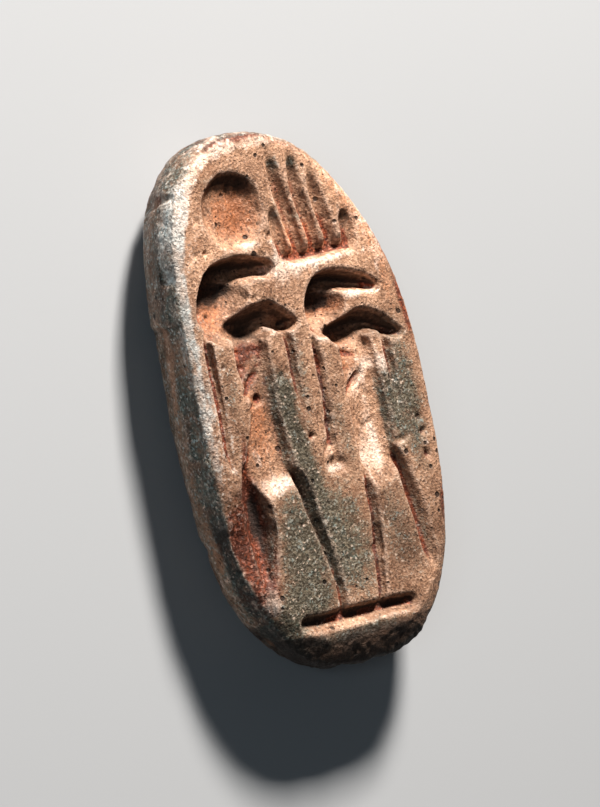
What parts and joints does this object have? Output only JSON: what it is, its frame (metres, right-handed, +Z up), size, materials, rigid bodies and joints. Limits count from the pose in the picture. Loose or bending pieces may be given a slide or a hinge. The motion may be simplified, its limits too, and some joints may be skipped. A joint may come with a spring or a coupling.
{
  "type": "stamp seal amulet",
  "caption": "Long oval plaque amulet of worn green glazed ware, deeply carved on its face with a disc, a fan and two tall figures on a ground line, and bored lengthwise for a cord.",
  "frame": {"origin": "centre of the footprint, on the surface that the back rests on", "axes": "+Z up, out of the carved face; +Y along the length, towards the end with the disc and the fan; +X across the face, from the disc towards the fan"},
  "size_m": [0.0118, 0.021, 0.0036],
  "materials": {
    "worn_glaze": "worn matt glaze, grey-green to tan, over a pitted orange-red body"
  },
  "bodies": {
    "root": {"seal_amulet": "worn_glaze"}
  },
  "joints": []
}
